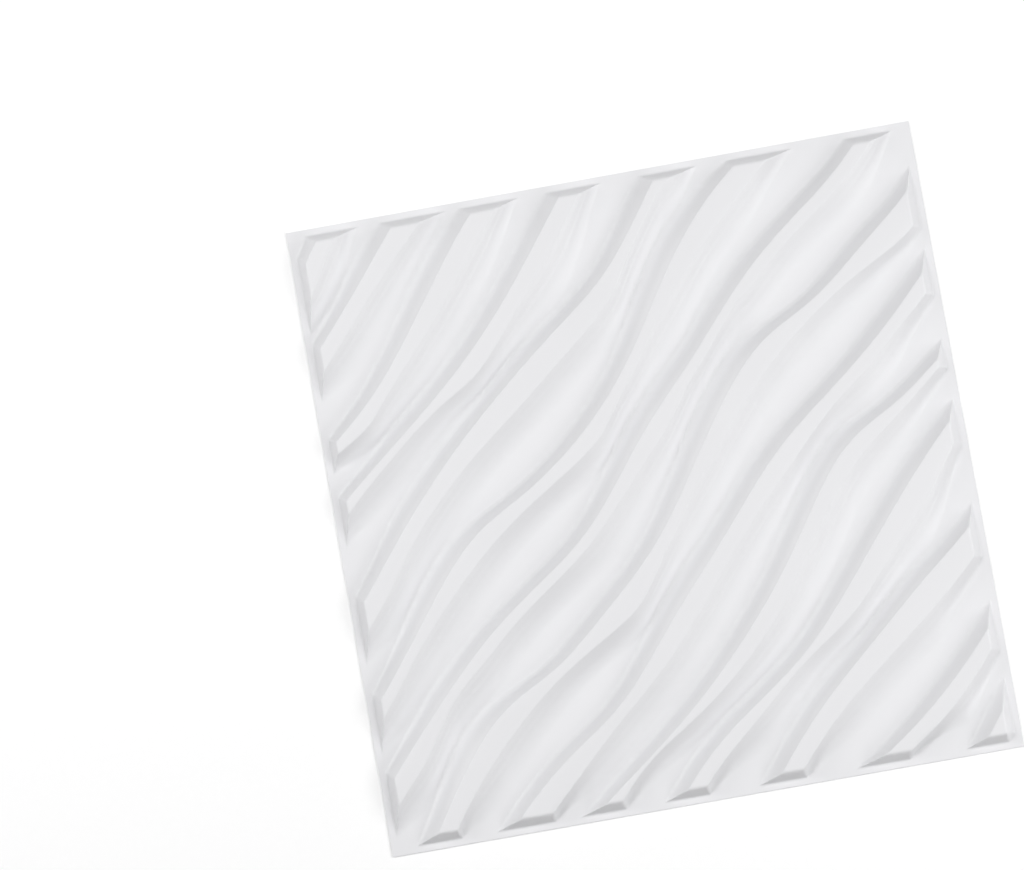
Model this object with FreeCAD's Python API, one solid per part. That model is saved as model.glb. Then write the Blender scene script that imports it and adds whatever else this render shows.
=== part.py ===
# Decorative wall panel tile with a diagonal wave relief.
# One square of white PVC sheet, thermoformed over a mould, so it is a single solid:
# flat-topped ribbons wave from the lower left to the upper right, with troughs between them.
# A trough falls from a ribbon's lower edge by a wall to its floor, and climbs by a flank to the
# crest of the next ribbon. Walls and flanks are steeper where a ribbon runs flatter, and they
# draw in towards the tile's edges.
# The ribbons end in sloped faces, and a flat lip runs round all four edges.
# The pattern repeats from edge to edge, so that tiles laid side by side join up.
# Frame: X to the right, Y up the face, Z out of the wall; origin in the middle of the back.
import FreeCAD
import Part
import math
import os

# Driving dimensions, in millimetres
SIDE = 500.0
SHEET = 1.0
RELIEF = 10.0
LIP = 5.7
END_RUN = 5.8
FLOOR_RISE = 0.2
FIRST_CREST = 41.0
WALL_RUN = 22.0
FLANK_RUN = 16.8
RUN_OUT = 45.0

# How much faster than a ribbon's slope its flank's run grows, and how sharply the lesser of two
# lengths takes over from the other
FLANK_POWER = 1.3
EASE = 6

# Shares: of a run that is left at the tile's edges, of a gap that its two sides may take up, of
# what a narrow gap lacks that its flank grows by and that its wall takes from the flat top above,
# of that top at most, and of a wall and of the floor that the slope between them takes up
WALL_EDGE_SHARE = 0.4
FLANK_EDGE_SHARE = 0.65
FLANK_MOST = 0.8
SIDES_MOST = 0.88
GROW_SHARE = 0.25
BITE_SHARE = 0.65
BITE_MOST = 0.45
FOOT_SHARE = 0.3
FLOOR_SHARE = 0.25

# Each ribbon, from the upper left to the lower right: how far its crest is lifted above a
# straight diagonal, and how wide its flat top is up the face, at equal steps along one repeat.
RIBBONS = (
    {"lift": (-2, 20, 33, 13, 3, 2, 23, 34, 14, 3), "width": (29, 23, 24, 10, 19, 28, 24, 23, 11, 19)},
    {"lift": (3, 10, 20, 15, 2, 9, 15, 21, 12, 3), "width": (18, 19, 26, 21, 12, 23, 20, 22, 22, 13)},
    {"lift": (3, -3, 11, 25, 17, 6, 4, 15, 33, 16), "width": (8, 19, 25, 25, 5, 8, 20, 24, 20, 10)},
    {"lift": (26, 18, 9, 8, 20, 32, 23, 11, 16, 25), "width": (14, 8, 11, 28, 27, 17, 11, 8, 28, 32)},
    {"lift": (14, 24, 29, 24, 14, 7, 24, 33, 28, 21), "width": (23, 23, 20, 24, 24, 22, 22, 20, 22, 26)},
    {"lift": (6, 18, 28, 10, -4, 1, 26, 30, 15, 4), "width": (15, 15, 20, 12, 16, 25, 25, 25, 15, 17)},
    {"lift": (15, 22, 22, 10, 0, 11, 15, 20, 12, 4), "width": (20, 22, 14, 10, 12, 20, 22, 15, 12, 15)},
)

# Spacing of the sections that a trough runs through, and how far its tool reaches past the blank
STEP_ALONG = 22.0
OVERRUN = 10.0
BREAKOUT = 0.05

PITCH = SIDE / len(RIBBONS)
TOP = SHEET + RELIEF
FLOOR = SHEET + FLOOR_RISE


def wave_of(ribbon):
    """Smooth closed curve whose point at a distance x along the repeat is (lift, width, 0)."""
    points = [FreeCAD.Vector(lift, width, 0) for lift, width in zip(ribbon["lift"], ribbon["width"])]
    places = [SIDE * i / len(points) for i in range(len(points) + 1)]
    curve = Part.BSplineCurve()
    curve.interpolate(Points=points, PeriodicFlag=True, Parameters=places)
    return curve


WAVES = [wave_of(ribbon) for ribbon in RIBBONS]


def crest_and_edge(index, x):
    """Heights up the face of a ribbon's crest and lower edge, x from the left edge."""
    turn, number = divmod(index, len(WAVES))
    lift, width, _ = WAVES[number].value(x % SIDE)
    crest = SIDE / 2 - FIRST_CREST - number * PITCH - turn * SIDE + x + lift
    return crest, crest - width


def lesser(one, other):
    """The lesser of two lengths, easing from one to the other."""
    return (one**-EASE + other**-EASE) ** (-1 / EASE)


def edge_fade(x, y, least):
    """Share of a run that is left, from all of it inside the tile to the least at the lip."""
    inset = SIDE / 2 - max(abs(x - SIDE / 2), abs(y)) - LIP
    return least + (1 - least) * min(max(inset / RUN_OUT, 0), 1)


def trough_section(index, x):
    """Corners of one trough's section, from above a ribbon's lower edge to above the next crest."""
    above, edge = crest_and_edge(index, x)
    crest = crest_and_edge(index + 1, x)[0]
    fall = crest_and_edge(index, x + 0.5)[1] - crest_and_edge(index, x - 0.5)[1]
    climb = crest_and_edge(index + 1, x + 0.5)[0] - crest_and_edge(index + 1, x - 0.5)[0]
    gap = edge - crest
    flank = FLANK_RUN * climb**FLANK_POWER * edge_fade(x, crest, FLANK_EDGE_SHARE)
    wanted = WALL_RUN * fall * edge_fade(x, edge - WALL_RUN / 2, WALL_EDGE_SHARE)
    flank += GROW_SHARE * max(wanted + flank - gap, 0)
    flank = lesser(flank, FLANK_MOST * gap)
    wall = lesser(wanted, SIDES_MOST * gap - flank)
    floor = FLOOR_SHARE * (gap - wall - flank)
    bite = min(BITE_SHARE * (wanted - wall), BITE_MOST * (above - edge))
    edge += bite
    wall += bite

    def corner(y, up):
        return FreeCAD.Vector(x - SIDE / 2, y, FLOOR + (TOP - FLOOR) * up)

    return [
        corner(edge + wall * BREAKOUT, 1 + BREAKOUT),
        corner(edge - wall * (1 - FOOT_SHARE), FOOT_SHARE),
        corner(edge - wall - min(floor, FOOT_SHARE * wall), 0),
        corner(crest + flank, 0),
        corner(crest - flank * BREAKOUT, 1 + BREAKOUT),
    ]


def trough_tool(index):
    """Solid that hollows out one trough, past the tile's edges and through the ribbon tops."""
    length = SIDE + 2 * OVERRUN
    steps = math.ceil(length / STEP_ALONG)
    places = [length * i / steps - OVERRUN for i in range(steps + 1)]
    reach = SIDE / 2 + 2 * STEP_ALONG
    sections = [trough_section(index, x) for x in places]
    sections = [section for section in sections if section[-1].y < reach and section[0].y > -reach]
    rails = []
    for points in zip(*sections):
        rail = Part.BSplineCurve()
        rail.interpolate(Points=list(points), Parameters=[point.x for point in points])
        rails.append(rail.toShape())
    flats = [Part.makeRuledSurface(a, b) for a, b in zip(rails, rails[1:] + rails[:1])]
    ends = [Part.Face(Part.makePolygon(section + section[:1])) for section in (sections[0], sections[-1])]
    return solid_of(flats + ends)


def solid_of(faces):
    """Solid inside faces that meet edge to edge."""
    shell = Part.makeShell(faces)
    shell.sewShape()
    return Part.makeSolid(shell)


def relief_block():
    """The relief as a full block on the lip: a blank with sloped sides, hollowed by the troughs."""
    foot = SIDE / 2 - LIP
    top = foot - END_RUN
    blank = Part.makeWedge(-foot, SHEET, -foot, -top, -top, foot, TOP, foot, top, top)
    blank.rotate(FreeCAD.Vector(), FreeCAD.Vector(1, 0, 0), 90)
    return blank.cut([trough_tool(index) for index in range(-1, 2 * len(RIBBONS) - 1)])


def square(side):
    """Square outline round the middle of the tile, on the front of the lip."""
    half = side / 2
    corners = [(-half, -half), (half, -half), (half, half), (-half, half), (-half, -half)]
    return Part.makePolygon([FreeCAD.Vector(x, y, SHEET) for x, y in corners])


def panel():
    """The sheet: its front skin of lip and relief, the same skin behind, and the cut edges."""
    edge = square(SIDE)
    to_back = FreeCAD.Vector(0, 0, -SHEET)
    lip = Part.Face(edge).cut(Part.Face(square(SIDE - 2 * LIP)))
    relief = [face for face in relief_block().Faces if face.BoundBox.ZMax > FLOOR - FLOOR_RISE / 2]
    front = lip.Faces + relief
    back = [face.translated(to_back) for face in front]
    return solid_of(front + back + edge.extrude(to_back).Faces)


os.makedirs("parts", exist_ok=True)
panel().exportStep("parts/wall_panel.step")
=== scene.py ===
"""Square wall tile of thermoformed white PVC with a diagonal wave relief, face up on a pale floor."""

import logging
import math
from dataclasses import dataclass
from enum import Enum

import bmesh
import bpy
import numpy as np
from mathutils import Matrix, Vector

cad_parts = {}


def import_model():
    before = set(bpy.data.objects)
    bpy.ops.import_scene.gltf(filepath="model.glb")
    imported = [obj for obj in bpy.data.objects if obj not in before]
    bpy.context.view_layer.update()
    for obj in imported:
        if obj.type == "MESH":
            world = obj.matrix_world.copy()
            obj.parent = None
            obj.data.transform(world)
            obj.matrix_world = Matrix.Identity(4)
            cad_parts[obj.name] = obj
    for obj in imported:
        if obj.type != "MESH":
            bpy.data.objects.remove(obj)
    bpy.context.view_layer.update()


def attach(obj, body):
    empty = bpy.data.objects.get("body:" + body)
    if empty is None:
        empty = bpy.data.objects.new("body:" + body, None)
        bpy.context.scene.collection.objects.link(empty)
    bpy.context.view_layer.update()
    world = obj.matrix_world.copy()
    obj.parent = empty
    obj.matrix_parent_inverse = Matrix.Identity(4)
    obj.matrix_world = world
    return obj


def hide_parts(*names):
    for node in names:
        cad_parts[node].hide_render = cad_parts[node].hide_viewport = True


LOG = logging.getLogger("wall_tile")
MM = 0.001
# How sharply the lesser of two lengths takes over from the other
LESSER_POWER = 6
# Least reach of a rounding in millimetres, and least distance from a cut in metres
TINY = 1e-9
SNAP = 1e-7
# Rows of a wall before its first ridge, and from one ridge to the next
RIDGE_START = 2
RIDGE_ROWS = 5
# Sockets of a colour Mix node, which has others of the same names
MIX_FROM = 6
MIX_TO = 7
MIX_RESULT = 2


def linear(hex_colour: str) -> tuple[float, float, float, float]:
    """Turns an sRGB hex colour into linear RGBA.

    Args:
        hex_colour: Six hex digits, such as "E9E9E8".

    Returns:
        Linear red, green, blue and a full alpha.
    """
    shares = [int(hex_colour[i : i + 2], 16) / 255 for i in (0, 2, 4)]
    red, green, blue = [s / 12.92 if s <= 0.04045 else ((s + 0.055) / 1.055) ** 2.4 for s in shares]
    return red, green, blue, 1.0


def add_node(
    tree: bpy.types.NodeTree,
    kind: str,
    inputs: dict[str | int, object] | None = None,
    **settings: object,
) -> bpy.types.Node:
    """Adds a node with its settings, and sets or links its inputs.

    Args:
        tree: Node tree that the node goes into.
        kind: Blender's name of the node type.
        inputs: Value or output socket for each input that isn't left at its default.
        settings: Properties of the node itself.

    Returns:
        The new node.
    """
    node = tree.nodes.new(kind)
    for name, value in settings.items():
        setattr(node, name, value)
    for name, value in (inputs or {}).items():
        if isinstance(value, bpy.types.NodeSocket):
            tree.links.new(value, node.inputs[name])
        else:
            node.inputs[name].default_value = value
    return node


def blank_material(name: str) -> bpy.types.Material:
    """Makes a material without any nodes yet.

    Args:
        name: The material's name.

    Returns:
        The new material.
    """
    made = bpy.data.materials.new(name)
    made.use_nodes = True
    made.node_tree.nodes.clear()
    return made


def object_of(mesh: bmesh.types.BMesh, name: str) -> bpy.types.Object:
    """Puts a finished mesh into the scene.

    Args:
        mesh: The mesh, freed here.
        name: Name of the object and of its data.

    Returns:
        The new object.
    """
    data = bpy.data.meshes.new(name)
    mesh.to_mesh(data)
    mesh.free()
    made = bpy.data.objects.new(name, data)
    bpy.context.scene.collection.objects.link(made)
    return made


def lesser(one: np.ndarray, other: np.ndarray) -> np.ndarray:
    """Takes the lesser of two lengths, easing from one to the other."""
    return (one**-LESSER_POWER + other**-LESSER_POWER) ** (-1 / LESSER_POWER)


def rounded_lesser(one: float, other: float, reach: float) -> float:
    """Takes the lesser of two heights, rounded off where they are within reach of each other."""
    overlap = max(reach - abs(one - other), 0.0)
    return min(one, other) - overlap**2 / (4 * max(reach, TINY))


class Edge(Enum):
    """The tile's four edges, each with the direction that it faces."""

    LEFT = (-1.0, 0.0)
    RIGHT = (1.0, 0.0)
    UPPER = (0.0, 1.0)
    LOWER = (0.0, -1.0)

    @property
    def outward(self) -> Vector:
        """Unit vector out of the tile, in its plane."""
        return Vector((*self.value, 0.0))


class Wave:
    """Smooth repeating curve through values at equal steps.

    Args:
        values: The values, in millimetres.
        period: Length of one repeat, in millimetres.
    """

    def __init__(self, values: tuple[float, ...], period: float) -> None:
        """Works out the slope at each value, so that the curve bends evenly through it."""
        self.values = np.asarray(values, float)
        self.period = period
        self.step = period / len(values)
        one = np.eye(len(values))
        system = 4.0 * one + np.roll(one, 1, axis=0) + np.roll(one, -1, axis=0)
        rise = 3.0 * (np.roll(self.values, -1) - np.roll(self.values, 1)) / self.step
        self.slopes = np.linalg.solve(system, rise)

    def at(self, x: np.ndarray) -> np.ndarray:
        """Reads the curve.

        Args:
            x: Distances along the repeat, in millimetres.

        Returns:
            The curve's value at each distance.
        """
        place = (x % self.period) / self.step
        before = np.floor(place).astype(int) % len(self.values)
        after = (before + 1) % len(self.values)
        t = place - np.floor(place)
        start = (1 + 2 * t) * (1 - t) ** 2 * self.values[before]
        end = t * t * (3 - 2 * t) * self.values[after]
        leave = t * (1 - t) ** 2 * self.slopes[before]
        arrive = t * t * (t - 1) * self.slopes[after]
        return start + end + self.step * (leave + arrive)


@dataclass(frozen=True)
class Ribbon:
    """One flat-topped wave: its crest's lift above a straight diagonal, and its width up the face."""

    lift: tuple[float, ...]
    width: tuple[float, ...]


@dataclass
class Corner:
    """One corner of the relief's section at each column, with how it is rounded and meshed.

    Heights and lengths are in millimetres up the face. The rounding starts back before the corner
    and ends ahead after it, in so many bends, and the straight after it has so many runs, with
    ridges that each rise at one of them and die away over the next, and a belly in the middle.
    """

    y: np.ndarray
    z: np.ndarray
    back: np.ndarray
    ahead: np.ndarray
    bends: int
    runs: int
    ridge: np.ndarray | float = 0.0
    belly: np.ndarray | float = 0.0

    def towards(self, other: "Corner", length: np.ndarray) -> tuple[np.ndarray, np.ndarray]:
        """Goes from this corner towards another.

        Args:
            other: The corner to go towards.
            length: How far to go up or down the face.

        Returns:
            Heights up the face and out of it.
        """
        share = length / np.abs(other.y - self.y)
        return self.y + (other.y - self.y) * share, self.z + (other.z - self.z) * share

    def bend(
        self, come: tuple[np.ndarray, np.ndarray], leave: tuple[np.ndarray, np.ndarray], t: float
    ) -> tuple[np.ndarray, np.ndarray]:
        """Rounds the corner.

        Args:
            come: Where the rounding starts.
            leave: Where it ends.
            t: Share of the way round.

        Returns:
            Heights up the face and out of it.
        """
        weights = ((1 - t) ** 2, 2 * t * (1 - t), t * t)
        y = weights[0] * come[0] + weights[1] * self.y + weights[2] * leave[0]
        z = weights[0] * come[1] + weights[1] * self.z + weights[2] * leave[1]
        return y, z

    def run(
        self, leave: tuple[np.ndarray, np.ndarray], end: tuple[np.ndarray, np.ndarray], row: int
    ) -> tuple[np.ndarray, np.ndarray]:
        """Goes along the straight after the corner, over its ridges and its belly.

        Args:
            leave: Where the straight starts.
            end: Where it ends.
            row: Which of its rows.

        Returns:
            Heights up the face and out of it.
        """
        t = row / self.runs
        y, z = (a + (b - a) * t for a, b in zip(leave, end))
        since = row - RIDGE_START
        left = 1.0 - since % RIDGE_ROWS / (RIDGE_ROWS - 1) if since >= 0 else 0.0
        return y, z + 4 * t * (1 - t) * self.belly + left * self.ridge


@dataclass(frozen=True)
class FormedPvc:
    """White rigid PVC sheet, thermoformed over a mould and left satin.

    To the eye it is an even, slightly soft white with a broad dull sheen. Drawing the warm sheet
    over the mould leaves it a little shinier where it stretched, with a faint skin like fine
    orange peel, and its colour hardly varies.
    """

    name: str = "thermoformed_white_pvc"
    white: str = "E2E2E4"
    shade: str = "DFDFE1"
    roughness: tuple[float, float] = (0.44, 0.54)
    ior: float = 1.53
    cloud_mm: float = 70.0
    stretch_mm: float = 24.0
    # Span of the stretch pattern over which the roughness goes from its least to its most
    stretch_span: tuple[float, float] = (0.3, 0.7)
    # A real skin is about 0.4 mm; drawn coarser so that it shows in a view of the whole tile
    skin_mm: float = 2.2
    skin_depth_mm: float = 0.012
    skin_strength: float = 0.35

    def material(self) -> bpy.types.Material:
        """Makes the material.

        Returns:
            The material, patterned on Object coordinates.
        """
        made = blank_material(self.name)
        tree = made.node_tree
        place = add_node(tree, "ShaderNodeTexCoord").outputs["Object"]
        cloud = add_node(
            tree,
            "ShaderNodeTexNoise",
            {"Vector": place, "Scale": 1 / (self.cloud_mm * MM), "Detail": 2.0},
        )
        colour = add_node(
            tree,
            "ShaderNodeMix",
            {"Factor": cloud.outputs["Fac"], MIX_FROM: linear(self.shade), MIX_TO: linear(self.white)},
            data_type="RGBA",
        )
        stretch = add_node(
            tree,
            "ShaderNodeTexNoise",
            {"Vector": place, "Scale": 1 / (self.stretch_mm * MM), "Detail": 3.0},
        )
        rough = add_node(
            tree,
            "ShaderNodeMapRange",
            {
                "Value": stretch.outputs["Fac"],
                "From Min": self.stretch_span[0],
                "From Max": self.stretch_span[1],
                "To Min": self.roughness[0],
                "To Max": self.roughness[1],
            },
        )
        skin = add_node(
            tree,
            "ShaderNodeTexNoise",
            {"Vector": place, "Scale": 1 / (self.skin_mm * MM), "Detail": 2.0},
        )
        peel = add_node(
            tree,
            "ShaderNodeBump",
            {
                "Height": skin.outputs["Fac"],
                "Strength": self.skin_strength,
                "Distance": self.skin_depth_mm * MM,
            },
        )
        shader = add_node(
            tree,
            "ShaderNodeBsdfPrincipled",
            {
                "Base Color": colour.outputs[MIX_RESULT],
                "Roughness": rough.outputs["Result"],
                "IOR": self.ior,
                "Normal": peel.outputs["Normal"],
            },
        )
        add_node(tree, "ShaderNodeOutputMaterial", {"Surface": shader.outputs["BSDF"]})
        return made


@dataclass(frozen=True)
class FloorPaper:
    """White matt paper: bright, even and without gloss, with a faint tooth."""

    name: str = "white_matt_paper"
    white: str = "FCFCFC"
    shade: str = "FAFAFA"
    roughness: float = 0.95
    gloss: float = 0.0
    # A real tooth is a few tenths of a millimetre; drawn coarser for a view of the whole tile
    tooth_mm: float = 6.0

    def material(self) -> bpy.types.Material:
        """Makes the material.

        Returns:
            The material, patterned on Object coordinates.
        """
        made = blank_material(self.name)
        tree = made.node_tree
        place = add_node(tree, "ShaderNodeTexCoord").outputs["Object"]
        tooth = add_node(
            tree,
            "ShaderNodeTexNoise",
            {"Vector": place, "Scale": 1 / (self.tooth_mm * MM), "Detail": 2.0},
        )
        colour = add_node(
            tree,
            "ShaderNodeMix",
            {"Factor": tooth.outputs["Fac"], MIX_FROM: linear(self.shade), MIX_TO: linear(self.white)},
            data_type="RGBA",
        )
        shader = add_node(
            tree,
            "ShaderNodeBsdfPrincipled",
            {
                "Base Color": colour.outputs[MIX_RESULT],
                "Roughness": self.roughness,
                "Specular IOR Level": self.gloss,
            },
        )
        add_node(tree, "ShaderNodeOutputMaterial", {"Surface": shader.outputs["BSDF"]})
        return made


@dataclass
class WallPanel:
    """The tile: one formed sheet with seven waving ribbons, troughs between them and a flat lip.

    Sizes are in millimetres. X is to the right, Y up the face and Z out of it, from the middle of
    the back. A trough falls from a ribbon's lower edge by a wall to its floor, and climbs by a
    flank to the next ribbon's crest. Their runs up the face grow with the ribbon's slope, so they
    are steeper where a ribbon runs flatter, and they draw in towards the tile's edges.
    """

    finish: FormedPvc
    side: float = 500.0
    sheet: float = 1.0
    relief: float = 10.0
    lip: float = 5.7
    end_run: float = 5.8
    first_crest: float = 41.0
    # Runs up the face of a full wall and flank where the ribbons rise at 45 degrees, their shares
    # left at the tile's lower and right edges and at its upper and left ones, and how far in from
    # the lip the runs draw in
    wall_run: float = 25.0
    flank_run: float = 16.3
    wall_edge_shares: tuple[float, float] = (0.22, 0.5)
    flank_edge_shares: tuple[float, float] = (0.74, 0.62)
    run_out: float = 45.0
    # Share of a flank's run that doesn't change with the ribbon's slope, and how fast the rest grows
    flank_least: float = 0.4
    flank_power: float = 1.9
    # The most of a gap that a flank takes, and a wall and a flank together
    flank_most: float = 0.84
    filled_share: float = 0.9
    # Shares of what a narrow gap lacks that its flank grows by and that its wall takes from the flat
    # top above, and the most of that top
    grow_share: float = 0.25
    bite_share: float = 0.6
    bite_most: float = 0.45
    # Roundings of the crest and of the lower edge, and the most of the flat top that each takes
    crest_round: float = 0.5
    edge_round: float = 0.8
    crest_most: float = 0.25
    edge_most: float = 0.4
    # Shares of a wall that the rounding at its foot takes on each side of it, shares of a flank that
    # the one at its foot takes on the floor and on the flank, and the most of the floor for each
    wall_foot_share: float = 0.4
    flank_foot_shares: tuple[float, float] = (0.2, 0.24)
    floor_most: float = 0.4
    # Faint ridges that the mould leaves along the walls: their height on a full wall, how fast it
    # grows with the ribbon's slope, and how many times the height they are at most
    ridge_height: float = 0.28
    ridge_power: int = 3
    ridge_most: float = 1.4
    # How far a flank bellies out, and the shares of that left at the tile's edges
    belly: float = 0.9
    belly_edge_shares: tuple[float, float] = (0.2, 0.2)
    # How far the roundings reach from the ends' upper edge and from their foot, and the most of a
    # low end's height that the upper one takes
    end_round: float = 1.1
    foot_round: float = 0.9
    end_share: float = 0.5
    # Lines cut along the ends' upper edge and along their foot, in reaches of those roundings
    end_cuts: tuple[int, ...] = (2, 1, 0, -1)
    foot_cuts: tuple[int, ...] = (-1, 0, 1, 2)
    # Spacing of the mesh's columns, how far they run past the tile before it is trimmed, and the
    # least turn in degrees that stays a sharp edge
    column_step: float = 4.6
    overrun: float = 6.0
    sharp_turn: float = 38.0
    ribbons: tuple[Ribbon, ...] = (
        Ribbon((-2, 20, 33, 13, 3, 2, 23, 34, 14, 3), (29, 23, 24, 10, 19, 28, 24, 23, 11, 19)),
        Ribbon((3, 10, 20, 15, 2, 9, 15, 21, 12, 3), (18, 19, 26, 21, 12, 23, 20, 22, 22, 13)),
        Ribbon((3, -3, 11, 25, 17, 6, 4, 15, 33, 16), (8, 19, 25, 25, 5, 8, 20, 24, 20, 10)),
        Ribbon((26, 18, 9, 8, 20, 32, 23, 11, 16, 25), (14, 8, 11, 28, 27, 17, 11, 8, 28, 32)),
        Ribbon((14, 24, 29, 24, 14, 7, 24, 33, 28, 21), (23, 23, 20, 24, 24, 22, 22, 20, 22, 26)),
        Ribbon((6, 18, 28, 10, -4, 1, 26, 30, 15, 4), (15, 15, 20, 12, 16, 25, 25, 25, 15, 17)),
        Ribbon((15, 22, 22, 10, 0, 11, 15, 20, 12, 4), (20, 22, 14, 10, 12, 20, 22, 15, 12, 15)),
    )

    @property
    def top(self) -> float:
        """Height of the ribbons' flat tops."""
        return self.sheet + self.relief

    def __post_init__(self) -> None:
        """Draws the ribbons' smooth curves."""
        self.lifts: list[Wave] = [Wave(ribbon.lift, self.side) for ribbon in self.ribbons]
        self.widths: list[Wave] = [Wave(ribbon.width, self.side) for ribbon in self.ribbons]

    def ribbon_lines(self, index: int, x: np.ndarray) -> tuple[np.ndarray, np.ndarray]:
        """Finds a ribbon's two edges.

        Args:
            index: Which ribbon, counted from the upper left; it runs on past the first repeat.
            x: Distances from the tile's left edge.

        Returns:
            Heights up the face of the crest and of the lower edge.
        """
        turn, number = divmod(index, len(self.ribbons))
        pitch = self.side / len(self.ribbons)
        start = self.side / 2 - self.first_crest - number * pitch - turn * self.side
        crest = start + x + self.lifts[number].at(x)
        return crest, crest - self.widths[number].at(x)

    def edge_fade(self, x: np.ndarray, y: np.ndarray, least: tuple[float, float]) -> np.ndarray:
        """Fades a run from its full length inside the tile to its least shares at the lip.

        Args:
            x: Distances from the tile's left edge.
            y: Heights up the face from its middle.
            least: Share left at the lower and right edges, and at the upper and left ones.

        Returns:
            The share of the run that is left.
        """
        half = self.side / 2
        insets = (np.minimum(half + y, self.side - x), np.minimum(half - y, x))
        shares = [np.clip((inset - self.lip) / self.run_out, 0.0, 1.0) for inset in insets]
        return np.minimum(*(low + (1.0 - low) * share for low, share in zip(least, shares)))

    def full_flank(self, climb: np.ndarray) -> np.ndarray:
        """Gives the run of a full flank up to a crest that climbs so steeply."""
        return self.flank_run * (self.flank_least + (1.0 - self.flank_least) * climb**self.flank_power)

    def full_ridge(self, wall: np.ndarray, fall: np.ndarray) -> np.ndarray:
        """Gives the height of the ridges on a wall, by its width and by how steeply its ribbon runs.

        Args:
            wall: The wall's run up the face.
            fall: Slope of the ribbon's lower edge.

        Returns:
            The ridges' height.
        """
        # Widths are square to the ribbon, and a full wall's is that at 45 degrees
        full_width = self.wall_run * math.sqrt(0.5)
        width = wall / np.hypot(1.0, fall) / full_width
        steepness = np.minimum(fall**self.ridge_power, self.ridge_most)
        return self.ridge_height * np.minimum(width, 1.0) ** 2 * steepness

    def corners(self, index: int, x: np.ndarray) -> list[Corner]:
        """Finds the corners of one repeat of the section, from a crest down to the next.

        Args:
            index: Which ribbon the repeat starts with.
            x: Distances from the tile's left edge.

        Returns:
            Crest, lower edge, foot of the wall, foot of the flank and the next crest.
        """
        crest, edge = self.ribbon_lines(index, x)
        following = self.ribbon_lines(index + 1, x)[0]
        gap = edge - following
        fall, climb = np.gradient(edge, x), np.gradient(following, x)
        flank = self.full_flank(climb) * self.edge_fade(x, following, self.flank_edge_shares)
        wanted = self.wall_run * fall * self.edge_fade(x, edge - self.wall_run / 2, self.wall_edge_shares)
        flank += self.grow_share * np.maximum(wanted + flank - gap, 0.0)
        flank = lesser(flank, self.flank_most * gap)
        wall = lesser(wanted, self.filled_share * gap - flank)
        low = np.full_like(x, self.sheet)
        top = np.full_like(x, self.top)
        wall_foot, flank_foot = edge - wall, following + flank
        floor = wall_foot - flank_foot
        edge = edge + np.minimum(self.bite_share * (wanted - wall), self.bite_most * (crest - edge))
        wall = edge - wall_foot
        width = crest - edge
        ridge = self.full_ridge(wall, fall)
        belly = self.belly * self.edge_fade(x, following, self.belly_edge_shares)
        small = np.minimum(self.crest_round * np.hypot(1.0, climb), self.crest_most * width)
        soft = np.minimum(self.edge_round * np.hypot(1.0, fall), self.edge_most * width)
        onto_wall = np.minimum(soft, self.edge_most * wall)
        off_wall = self.wall_foot_share * wall
        on_floor, onto_flank = (share * flank for share in self.flank_foot_shares)
        room = self.floor_most * floor
        return [
            Corner(crest, top, small, small, bends=3, runs=3),
            Corner(edge, top, soft, onto_wall, bends=3, runs=10, ridge=ridge),
            Corner(wall_foot, low, off_wall, np.minimum(room, off_wall), bends=7, runs=3),
            Corner(flank_foot, low, np.minimum(room, on_floor), onto_flank, bends=6, runs=6, belly=belly),
            Corner(following, top, small, small, bends=3, runs=3),
        ]

    def section_rows(self, index: int, x: np.ndarray) -> list[tuple[np.ndarray, np.ndarray]]:
        """Places the mesh's rows over one repeat, with every corner rounded.

        Args:
            index: Which ribbon the repeat starts with.
            x: Distances from the tile's left edge.

        Returns:
            Heights up the face and out of it, row by row, up to but without the next crest's rows.
        """
        corners = self.corners(index, x)
        before = self.corners(index - 1, x)[-2]
        rows = []
        for last, here, after in zip([before] + corners, corners, corners[1:]):
            come, leave = here.towards(last, here.back), here.towards(after, here.ahead)
            end = after.towards(here, after.back)
            rows += [here.bend(come, leave, i / here.bends) for i in range(here.bends)]
            rows += [here.run(leave, end, i) for i in range(here.runs)]
        return rows

    def relief_mesh(self) -> bmesh.types.BMesh:
        """Forms a flat grid into the relief, running past the tile's edges.

        Returns:
            The open front skin of the ribbons and troughs, in metres.
        """
        count = math.ceil((self.side + 2 * self.overrun) / self.column_step)
        x = np.linspace(-self.overrun, self.side + self.overrun, count + 1)
        rows = []
        for index in range(-1, 2 * len(self.ribbons)):
            rows += self.section_rows(index, x)
        mesh = bmesh.new()
        bmesh.ops.create_grid(mesh, x_segments=count, y_segments=len(rows) - 1, size=0.5)
        mesh.verts.ensure_lookup_table()
        for number, vert in enumerate(mesh.verts):
            row, column = divmod(number, count + 1)
            y, z = rows[row]
            vert.co = Vector((x[column] - self.side / 2, y[column], z[column])) * MM
        return mesh

    def end_plane(self, edge: Edge, inset: float = 0.0) -> tuple[Vector, Vector]:
        """Gives the plane of the sloped ends of the ribbons along one edge of the tile.

        Args:
            edge: The tile's edge.
            inset: How far the plane is moved into the tile.

        Returns:
            A point on the plane in metres, and its normal out of the tile.
        """
        foot = edge.outward * (self.side / 2 - self.lip - inset) + Vector((0, 0, self.sheet))
        normal = edge.outward * self.relief + Vector((0, 0, self.end_run))
        return foot * MM, normal.normalized()

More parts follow.
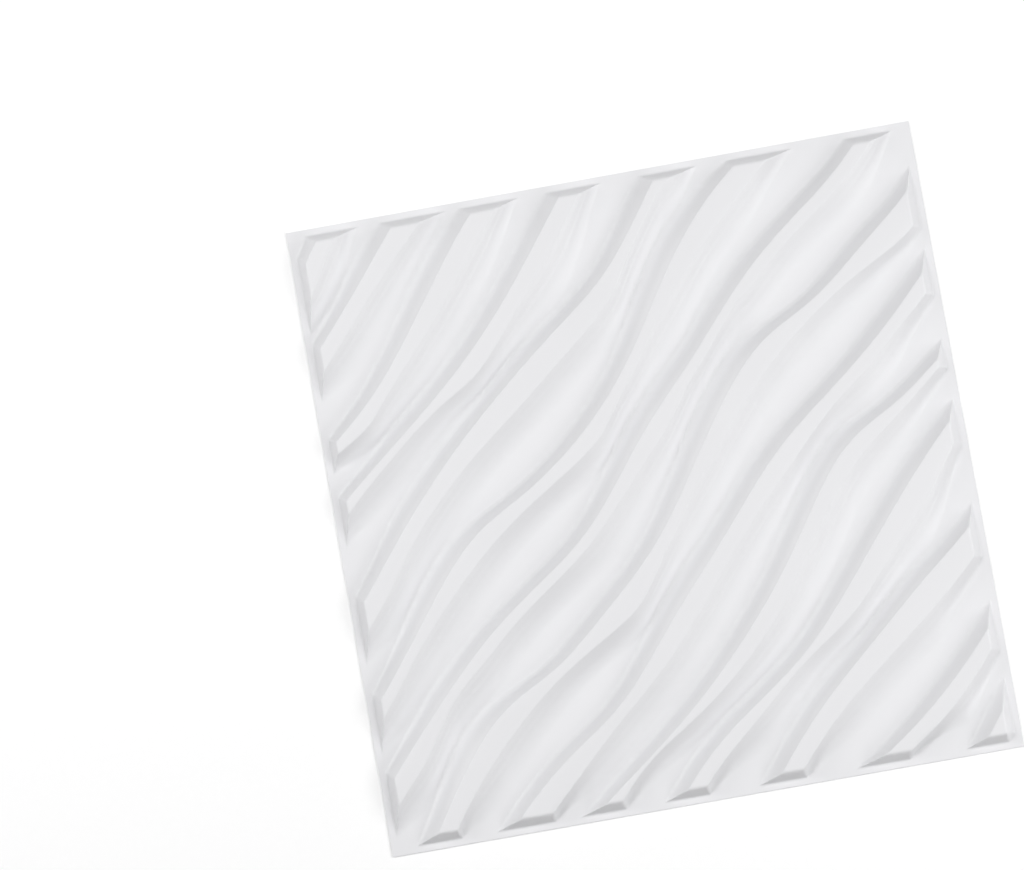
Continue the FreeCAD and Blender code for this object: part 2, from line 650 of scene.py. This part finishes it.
    def cut_lines(self, mesh: bmesh.types.BMesh) -> None:
        """Cuts lines into the skin where the ends and the lip bend, and trims it to the tile.

        Args:
            mesh: The relief, changed in place.
        """
        foot = self.side / 2 - self.lip
        for edge in Edge:
            cuts = [self.end_plane(edge, self.end_round * i) for i in self.end_cuts]
            places = [foot + self.foot_round * i for i in self.foot_cuts] + [self.side / 2]
            cuts += [(edge.outward * place * MM, edge.outward) for place in places]
            for number, (point, normal) in enumerate(cuts, start=1):
                bmesh.ops.bisect_plane(
                    mesh,
                    geom=mesh.verts[:] + mesh.edges[:] + mesh.faces[:],
                    dist=SNAP,
                    plane_co=point,
                    plane_no=normal,
                    clear_outer=number == len(cuts),
                )

    def lower_ends(self, mesh: bmesh.types.BMesh) -> None:
        """Lowers the skin along the tile's edges to the ribbons' sloped ends and the flat lip.

        Args:
            mesh: The relief with its lines cut, changed in place.
        """
        steep = self.relief / self.end_run
        for vert in mesh.verts:
            height = vert.co.z / MM - self.sheet
            for edge in Edge:
                inside = self.side / 2 - self.lip - vert.co.dot(edge.outward) / MM
                end = -rounded_lesser(-inside * steep, 0.0, self.foot_round * steep)
                reach = min(self.end_round * steep, self.end_share * height)
                height = rounded_lesser(height, end, reach)
            vert.co.z = (self.sheet + height) * MM

    def thicken(self, mesh: bmesh.types.BMesh) -> None:
        """Gives the skin its thickness towards the back, so that the back is hollow as formed.

        Args:
            mesh: The open skin, changed in place.
        """
        made = bmesh.ops.extrude_face_region(mesh, geom=mesh.faces[:], use_keep_orig=True)["geom"]
        verts = [item for item in made if isinstance(item, bmesh.types.BMVert)]
        bmesh.ops.translate(mesh, verts=verts, vec=(0, 0, -self.sheet * MM))
        bmesh.ops.recalc_face_normals(mesh, faces=mesh.faces[:])

    def build(self) -> bpy.types.Object:
        """Builds the sheet in place of the plain solid.

        Returns:
            The sheet's object.
        """
        mesh = self.relief_mesh()
        self.cut_lines(mesh)
        self.lower_ends(mesh)
        self.thicken(mesh)
        for face in mesh.faces:
            face.smooth = True
        for edge in mesh.edges:
            edge.smooth = edge.calc_face_angle(math.pi) < math.radians(self.sharp_turn)
        sheet = object_of(mesh, "wall_panel_sheet")
        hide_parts("wall_panel")
        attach(sheet, "root")
        return sheet

    def dress(self, sheet: bpy.types.Object) -> None:
        """Gives the sheet its finish."""
        sheet.data.materials.append(self.finish.material())


@dataclass
class Floor:
    """The pale floor that the tile lies on. Lengths are in metres."""

    finish: FloorPaper
    half: float = 4.0
    squares: int = 8
    below: float = 0.0002

    def build(self) -> bpy.types.Object:
        """Builds the floor just under the tile.

        Returns:
            The floor's object.
        """
        mesh = bmesh.new()
        bmesh.ops.create_grid(mesh, x_segments=self.squares, y_segments=self.squares, size=self.half)
        bmesh.ops.translate(mesh, verts=mesh.verts[:], vec=(0, 0, -self.below))
        floor = object_of(mesh, "floor")
        floor.data.materials.append(self.finish.material())
        return floor


@dataclass
class Softbox:
    """A large square lamp that faces the tile. Angles are in degrees, lengths in metres."""

    name: str
    azimuth: float
    from_upright: float
    watts: float
    distance: float = 3.0
    size: float = 0.8

    def build(self) -> bpy.types.Object:
        """Builds the lamp.

        Returns:
            The lamp's object.
        """
        lamp = bpy.data.lights.new(self.name, "AREA")
        lamp.shape = "SQUARE"
        lamp.size = self.size
        lamp.energy = self.watts
        made = bpy.data.objects.new(self.name, lamp)
        turn, lean = math.radians(self.azimuth), math.radians(self.from_upright)
        away = Vector((math.cos(turn) * math.sin(lean), math.sin(turn) * math.sin(lean), math.cos(lean)))
        made.location = away * self.distance
        made.rotation_euler = away.to_track_quat("Z", "Y").to_euler()
        bpy.context.scene.collection.objects.link(made)
        return made


@dataclass
class Studio:
    """The soft light in a dark room: lamps above the tile and, high and low, at both sides of it."""

    lamps: tuple[Softbox, ...] = (
        Softbox("overhead_lamp", 0.0, 0.0, 11.1),
        Softbox("right_lamp", 0.0, 35.0, 32.2),
        Softbox("upper_left_lamp", 135.0, 35.0, 9.5),
        Softbox("left_lamp", 160.0, 35.0, 31.3),
        Softbox("low_right_lamp", 0.0, 62.0, 19.0),
        Softbox("low_left_lamp", 160.0, 62.0, 18.2),
        Softbox("low_lower_right_lamp", 324.0, 62.0, 18.3),
    )

    def build(self) -> None:
        """Builds the lamps, darkens the room and keeps whites as they are lit."""
        for lamp in self.lamps:
            made = lamp.build()
            LOG.info("%s: %.1f W", made.name, made.data.energy)
        world = bpy.data.worlds.new("dark_room")
        world.use_nodes = True
        world.node_tree.nodes["Background"].inputs["Strength"].default_value = 0.0
        bpy.context.scene.world = world
        bpy.context.scene.view_settings.view_transform = "Standard"


@dataclass
class OverheadCamera:
    """The camera, high over the tile, a little to its near side and turned. Places are in mm."""

    place: tuple[float, float, float] = (5.0, -266.0, 3486.0)
    aim: tuple[float, float, float] = (-101.2, 60.2, 1.0)
    turn: float = 9.95
    lens: float = 156.27
    sensor: float = 36.0
    # How far it sees, in metres
    sight: float = 20.0

    def build(self) -> bpy.types.Object:
        """Builds the camera and makes it the scene's.

        Returns:
            The camera's object.
        """
        data = bpy.data.cameras.new("overhead_camera")
        data.sensor_fit = "HORIZONTAL"
        data.sensor_width = self.sensor
        data.lens = self.lens
        data.clip_end = self.sight
        camera = bpy.data.objects.new("overhead_camera", data)
        back = (Vector(self.place) - Vector(self.aim)).normalized()
        turn = math.radians(self.turn)
        right = Vector((math.sin(turn), math.cos(turn), 0.0)).cross(back).normalized()
        camera.matrix_world = Matrix.Translation(Vector(self.place) * MM) @ Matrix(
            (right, back.cross(right), back)
        ).transposed().to_4x4()
        bpy.context.scene.collection.objects.link(camera)
        bpy.context.scene.camera = camera
        return camera


def main() -> None:
    """Builds the tile, the floor, the light and the camera, and logs the sheet's triangle count and the
    lens.
    """
    logging.basicConfig(level=logging.INFO, format="%(name)s: %(message)s")
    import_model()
    panel = WallPanel(FormedPvc())
    sheet = panel.build()
    panel.dress(sheet)
    sheet.data.calc_loop_triangles()
    LOG.info("%s: %d triangles", sheet.name, len(sheet.data.loop_triangles))
    floor = Floor(FloorPaper()).build()
    LOG.info("%s: stage", floor.name)
    Studio().build()
    camera = OverheadCamera().build()
    LOG.info("%s: %.0f mm lens", camera.name, camera.data.lens)


if __name__ == "__main__":
    main()
